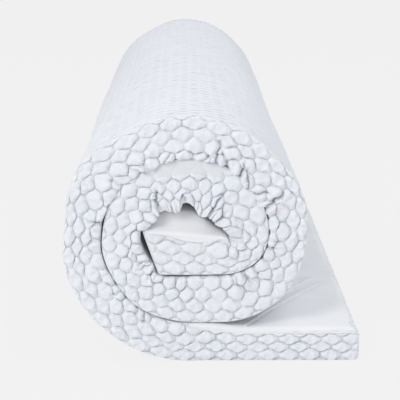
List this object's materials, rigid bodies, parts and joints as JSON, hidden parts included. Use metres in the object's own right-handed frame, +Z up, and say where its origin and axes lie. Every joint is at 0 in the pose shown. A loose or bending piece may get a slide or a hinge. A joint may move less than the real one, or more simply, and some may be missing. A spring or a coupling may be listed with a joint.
{
  "type": "rolled mattress topper",
  "caption": "Memory foam mattress topper in a honeycomb-quilted zipped cover, rolled up with its tail lying flat.",
  "frame": {"origin": "on the floor under the middle of the rolled topper", "axes": "+Y along the roll from the near border to the far one, +X towards the flat tail, +Z up"},
  "size_m": [0.415, 1.524, 0.348],
  "materials": {
    "memory_foam": "matte open-cell foam",
    "quilted_knit": "bluish white knit, quilted with pale blue thread",
    "fibre_wadding": "lofted fibre",
    "backing_cloth": "thin non-woven cloth",
    "plain_knit": "smooth white knit",
    "seam_thread": "pale blue polyester thread",
    "zip_tape": "woven tape",
    "nylon_coil": "nylon",
    "zip_metal": "nickel-plated zinc casting"
  },
  "bodies": {
    "topper": {"foam_slab": "memory_foam", "quilted_panel": "quilted_knit", "quilt_wadding": "fibre_wadding", "quilt_backing": "backing_cloth", "plain_panel": "plain_knit", "border_front": "quilted_knit", "border_rear": "quilted_knit", "border_head": "quilted_knit", "border_foot_upper": "quilted_knit", "border_foot_lower": "quilted_knit", "seam_front": "seam_thread", "seam_rear": "seam_thread", "zip_tape_upper": "zip_tape", "zip_tape_lower": "zip_tape", "zip_coil_upper": "nylon_coil", "zip_coil_lower": "nylon_coil", "zip_stop_front": "nylon_coil", "zip_stop_rear": "nylon_coil"},
    "slider": {"zip_slider": "zip_metal"},
    "pull": {"zip_pull": "zip_metal"}
  },
  "joints": [
    {"name": "zip_slide", "type": "slide", "parent": "topper", "child": "slider", "axis": [0, 1, 0], "range_m": [0, 1.443]},
    {"name": "pull_hinge", "type": "hinge", "parent": "slider", "child": "pull", "pos_m": [0.20482, -0.7217, 0.02], "axis": [0, 0, -1], "range_deg": [0, 170]}
  ]
}
